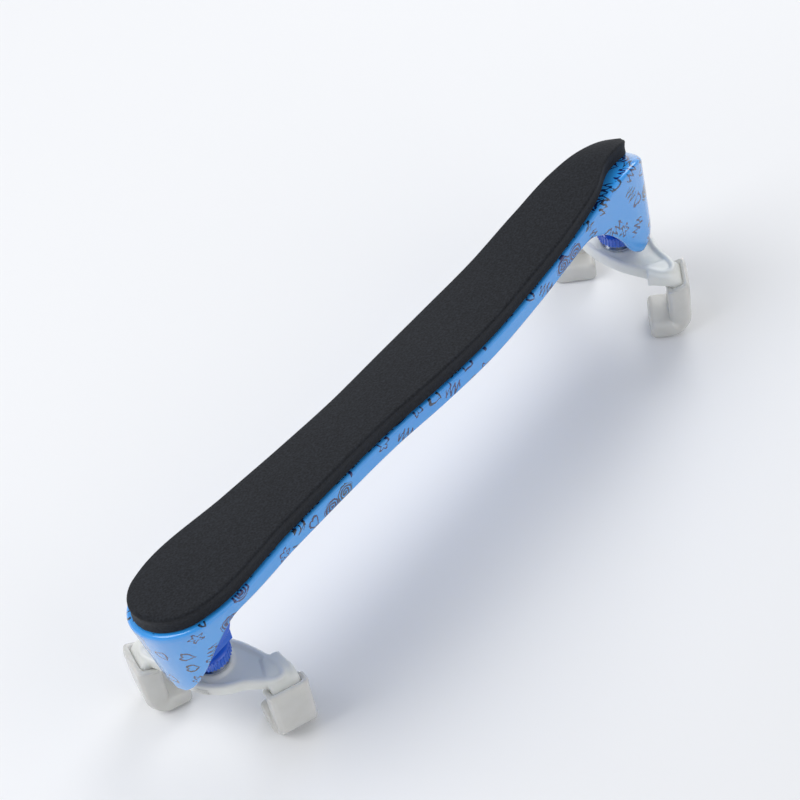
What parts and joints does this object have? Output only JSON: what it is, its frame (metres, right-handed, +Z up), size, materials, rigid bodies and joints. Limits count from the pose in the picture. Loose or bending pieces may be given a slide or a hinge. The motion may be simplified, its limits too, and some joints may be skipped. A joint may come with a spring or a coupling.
{
  "type": "violin shoulder rest",
  "caption": "Folding shoulder rest: padded curved bar with hooded ends, height-adjustable swivelling forks and sleeved claws that grip a violin's back edge.",
  "frame": {"origin": "middle of the box, on the plane that the four claws stand on", "axes": "+X along the bar to the shoulder end, +Y towards the violin's neck, +Z up from the violin's back"},
  "size_m": [0.2038, 0.0554, 0.0661],
  "materials": {
    "body_blue": "glossy moulded ABS with small dark doodles",
    "nut_plastic": "glossy moulded ABS",
    "foam": "matt closed-cell foam",
    "fork_nylon": "milky translucent nylon",
    "sleeve_silicone": "clear milky silicone",
    "steel": "zinc plated",
    "brass": "turned"
  },
  "bodies": {
    "bar": {"base_bar": "body_blue", "foam_pad": "foam", "chest_hinge_pin_tail": "steel", "chest_hinge_pin_neck": "steel", "shoulder_hinge_pin_tail": "steel", "shoulder_hinge_pin_neck": "steel"},
    "chest_knuckle": {"chest_swivel_block": "body_blue", "chest_threaded_insert": "brass"},
    "chest_nut": {"chest_lock_nut": "nut_plastic"},
    "chest_post": {"chest_height_stud": "steel", "chest_retaining_clip": "steel", "chest_thrust_washer": "steel"},
    "chest_foot": {"chest_fork": "fork_nylon", "chest_sleeve_a": "sleeve_silicone", "chest_sleeve_b": "sleeve_silicone"},
    "shoulder_knuckle": {"shoulder_swivel_block": "body_blue", "shoulder_threaded_insert": "brass"},
    "shoulder_nut": {"shoulder_lock_nut": "nut_plastic"},
    "shoulder_post": {"shoulder_height_stud": "steel", "shoulder_retaining_clip": "steel", "shoulder_thrust_washer": "steel"},
    "shoulder_foot": {"shoulder_fork": "fork_nylon", "shoulder_sleeve_a": "sleeve_silicone", "shoulder_sleeve_b": "sleeve_silicone"}
  },
  "joints": [
    {"name": "chest_fold", "type": "hinge", "parent": "bar", "child": "chest_knuckle", "pos_m": [-0.08565, 0.00262, 0.042], "axis": [0, -1, 0], "range_deg": [0, 60]},
    {"name": "chest_nut_turn", "type": "hinge", "parent": "chest_knuckle", "child": "chest_nut", "pos_m": [-0.08565, 0.00262, 0.028], "axis": [0, 0, 1], "range_deg": [0, 180]},
    {"name": "chest_height", "type": "slide", "parent": "chest_knuckle", "child": "chest_post", "axis": [0, 0, -1], "range_m": [0, 0.009]},
    {"name": "chest_swivel", "type": "hinge", "parent": "chest_post", "child": "chest_foot", "pos_m": [-0.08565, 0.00262, 0.022], "axis": [0, 0, 1], "range_deg": [-20, 20]},
    {"name": "shoulder_fold", "type": "hinge", "parent": "bar", "child": "shoulder_knuckle", "pos_m": [0.09195, -0.00078, 0.042], "axis": [0, 1, 0], "range_deg": [0, 60]},
    {"name": "shoulder_nut_turn", "type": "hinge", "parent": "shoulder_knuckle", "child": "shoulder_nut", "pos_m": [0.09195, -0.00078, 0.028], "axis": [0, 0, 1], "range_deg": [0, 180]},
    {"name": "shoulder_height", "type": "slide", "parent": "shoulder_knuckle", "child": "shoulder_post", "axis": [0, 0, -1], "range_m": [0, 0.009]},
    {"name": "shoulder_swivel", "type": "hinge", "parent": "shoulder_post", "child": "shoulder_foot", "pos_m": [0.09195, -0.00078, 0.022], "axis": [0, 0, 1], "range_deg": [-20, 20]}
  ]
}
